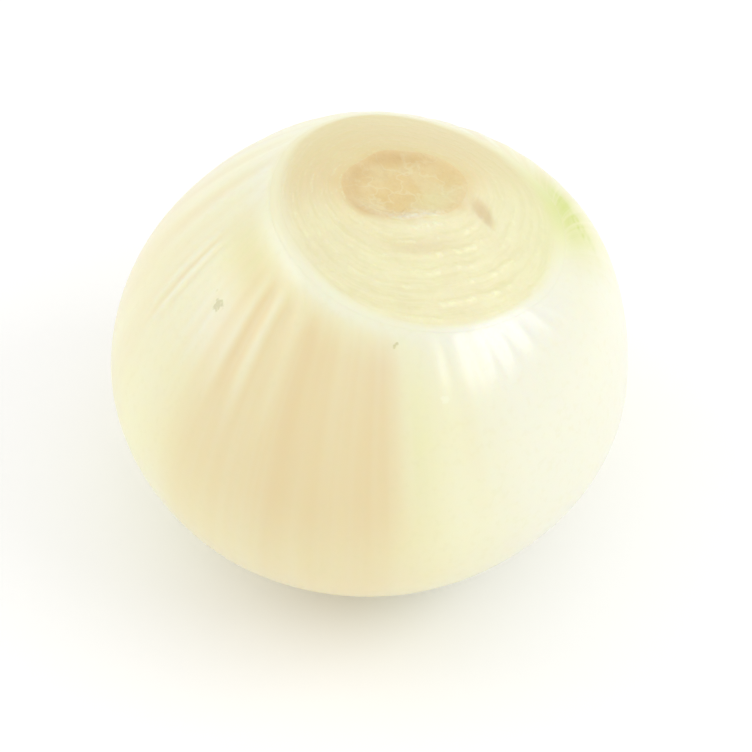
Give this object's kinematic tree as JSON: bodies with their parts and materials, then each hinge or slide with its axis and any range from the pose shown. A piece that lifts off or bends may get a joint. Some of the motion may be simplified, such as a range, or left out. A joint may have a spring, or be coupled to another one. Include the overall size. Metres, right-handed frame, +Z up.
{
  "type": "onion",
  "caption": "Peeled onion bulb with its root end trimmed, showing ringed cut layers and a root plate; rests on its trimmed neck.",
  "frame": {"origin": "middle of the small flat at the trimmed neck, on which the bulb rests", "axes": "+Z up through the bulb towards its trimmed root end, +X towards the side that the root end leans to"},
  "size_m": [0.0749, 0.0802, 0.0622],
  "materials": {
    "onion_flesh": "satin"
  },
  "bodies": {
    "root": {"onion_bulb": "onion_flesh"}
  },
  "joints": []
}
